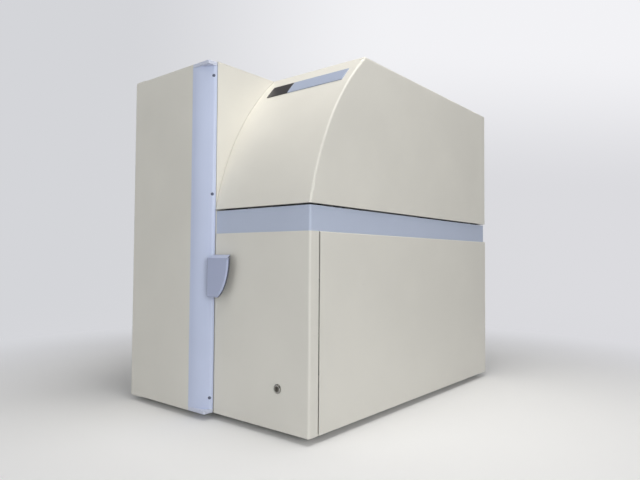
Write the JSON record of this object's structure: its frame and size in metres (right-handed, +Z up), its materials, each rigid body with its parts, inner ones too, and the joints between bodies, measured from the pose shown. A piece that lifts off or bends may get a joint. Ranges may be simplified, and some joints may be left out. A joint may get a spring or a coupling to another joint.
{
  "type": "microplate reader",
  "caption": "Bench microplate reader: a loading tower with a hinged door and a plate lift, and a detector head and transfer tray under a curved light-tight hood.",
  "frame": {"origin": "middle of the bounding box footprint, on the bench under the feet", "axes": "+Z up, +Y towards the back of the reader, +X to the right seen from the front"},
  "size_m": [0.48, 0.726, 0.677],
  "materials": {
    "base_plate": "matte",
    "feet": "matte",
    "tower_left_panel": "matte",
    "tower_top_panel": "matte",
    "tower_right_wall": "matte",
    "tower_bulkhead": "matte",
    "lower_front_panel": "matte",
    "lower_side_panel": "matte",
    "blue_belt": "matte",
    "deck_plate": "satin",
    "frame_posts": "matte",
    "back_panel": "matte",
    "connector_pocket": "matte",
    "mains_inlet": "matte",
    "data_ports": "satin",
    "fan_housing": "matte",
    "hinge_plates": "satin",
    "door_magnets": "matte",
    "lock_bezel": "polished",
    "hood_hinge_bases": "satin",
    "lift_frame": "satin",
    "lift_guide_rods": "polished",
    "drive_motors": "matte",
    "tray_belt": "matte",
    "tray_rails": "polished",
    "head_supports": "satin",
    "head_rails": "polished",
    "power_supply": "satin",
    "controller_board": "satin",
    "door_panel": "matte",
    "pivot_blocks": "matte",
    "door_edge_trim": "satin",
    "trim_end_caps": "matte",
    "trim_screws": "satin",
    "door_handle": "matte",
    "door_liner": "matte",
    "door_gasket": "matte",
    "hood_shell": "matte",
    "badge_dark": "matte",
    "badge_blue": "matte",
    "hood_hinge_arms": "satin",
    "lock_plug": "polished",
    "lift_carriage": "satin",
    "lift_bushes": "satin",
    "lift_platform": "satin",
    "magazine_base": "satin",
    "magazine_posts": "satin",
    "magazine_ledges": "satin",
    "magazine_backstop": "satin",
    "magazine_top": "satin",
    "lift_screw": "polished",
    "plate_tray": "matte",
    "tray_drive_pulley": "satin",
    "tray_idler_pulley": "satin",
    "head_carriage": "satin",
    "detector_block": "matte",
    "detector_tubes": "matte",
    "head_screw": "polished",
    "fan_rotor": "matte",
    "power_rocker": "gloss"
  },
  "bodies": {
    "housing": {"base_plate": "base_plate", "feet": "feet", "tower_left_panel": "tower_left_panel", "tower_top_panel": "tower_top_panel", "tower_right_wall": "tower_right_wall", "tower_bulkhead": "tower_bulkhead", "lower_front_panel": "lower_front_panel", "lower_side_panel": "lower_side_panel", "blue_belt": "blue_belt", "deck_plate": "deck_plate", "frame_posts": "frame_posts", "back_panel": "back_panel", "connector_pocket": "connector_pocket", "mains_inlet": "mains_inlet", "data_ports": "data_ports", "fan_housing": "fan_housing", "hinge_plates": "hinge_plates", "door_magnets": "door_magnets", "lock_bezel": "lock_bezel", "hood_hinge_bases": "hood_hinge_bases", "lift_frame": "lift_frame", "lift_guide_rods": "lift_guide_rods", "drive_motors": "drive_motors", "tray_belt": "tray_belt", "tray_rails": "tray_rails", "head_supports": "head_supports", "head_rails": "head_rails", "power_supply": "power_supply", "controller_board": "controller_board"},
    "door": {"door_panel": "door_panel", "pivot_blocks": "pivot_blocks", "door_edge_trim": "door_edge_trim", "trim_end_caps": "trim_end_caps", "trim_screws": "trim_screws", "door_handle": "door_handle", "door_liner": "door_liner", "door_gasket": "door_gasket"},
    "hood": {"hood_shell": "hood_shell", "badge_dark": "badge_dark", "badge_blue": "badge_blue", "hood_hinge_arms": "hood_hinge_arms"},
    "lock": {"lock_plug": "lock_plug"},
    "lift": {"lift_carriage": "lift_carriage", "lift_bushes": "lift_bushes", "lift_platform": "lift_platform", "magazine_base": "magazine_base", "magazine_posts": "magazine_posts", "magazine_ledges": "magazine_ledges", "magazine_backstop": "magazine_backstop", "magazine_top": "magazine_top"},
    "lift_screw_body": {"lift_screw": "lift_screw"},
    "tray": {"plate_tray": "plate_tray"},
    "tray_drive": {"tray_drive_pulley": "tray_drive_pulley"},
    "tray_idler": {"tray_idler_pulley": "tray_idler_pulley"},
    "head": {"head_carriage": "head_carriage", "detector_block": "detector_block", "detector_tubes": "detector_tubes"},
    "head_screw_body": {"head_screw": "head_screw"},
    "fan": {"fan_rotor": "fan_rotor"},
    "rocker": {"power_rocker": "power_rocker"}
  },
  "joints": [
    {"name": "door_hinge", "type": "hinge", "parent": "housing", "child": "door", "pos_m": [-0.2348, -0.357, 0.34], "axis": [0, 0, -1], "range_deg": [0, 110]},
    {"name": "hood_hinge", "type": "hinge", "parent": "housing", "child": "hood", "pos_m": [0.118, 0.354, 0.38], "axis": [-1, 0, 0], "range_deg": [0, 65]},
    {"name": "lock_turn", "type": "hinge", "parent": "housing", "child": "lock", "pos_m": [0.1704, -0.342, 0.0818], "axis": [0, -1, 0], "range_deg": [0, 90]},
    {"name": "lift_slide", "type": "slide", "parent": "housing", "child": "lift", "axis": [0, 0, 1], "range_m": [0, 0.198]},
    {"name": "lift_screw_turn", "type": "hinge", "parent": "housing", "child": "lift_screw_body", "pos_m": [-0.205, -0.212, 0.34], "axis": [0, 0, -1], "range_deg": [0, 3564]},
    {"name": "tray_slide", "type": "slide", "parent": "housing", "child": "tray", "axis": [-1, 0, 0], "range_m": [0, 0.19138]},
    {"name": "tray_drive_turn", "type": "hinge", "parent": "housing", "child": "tray_drive", "pos_m": [0.017, -0.212, 0.4014], "axis": [0, 0, 1], "range_deg": [0, 1674.09]},
    {"name": "tray_idler_turn", "type": "hinge", "parent": "housing", "child": "tray_idler", "pos_m": [0.219, -0.212, 0.4014], "axis": [0, 0, 1], "range_deg": [0, 1674.09]},
    {"name": "head_slide", "type": "slide", "parent": "housing", "child": "head", "axis": [0, 1, 0], "range_m": [0, 0.12]},
    {"name": "head_screw_turn", "type": "hinge", "parent": "housing", "child": "head_screw_body", "pos_m": [0.204, -0.1, 0.4663], "axis": [0, -1, 0], "range_deg": [0, 2160]},
    {"name": "fan_spin", "type": "hinge", "parent": "housing", "child": "fan", "pos_m": [0.118, 0.3505, 0.248], "axis": [0, 1, 0], "continuous": true},
    {"name": "rocker_tip", "type": "hinge", "parent": "housing", "child": "rocker", "pos_m": [0.0915, 0.346, 0.097], "axis": [-1, 0, 0], "range_deg": [0, 14]}
  ],
  "couplings": [
    {"joint": "lift_screw_turn", "follows": "lift_slide", "rad_per_m": 314.16},
    {"joint": "tray_drive_turn", "follows": "tray_slide", "rad_per_m": 152.67},
    {"joint": "tray_idler_turn", "follows": "tray_slide", "rad_per_m": 152.67},
    {"joint": "head_screw_turn", "follows": "head_slide", "rad_per_m": 314.16}
  ]
}
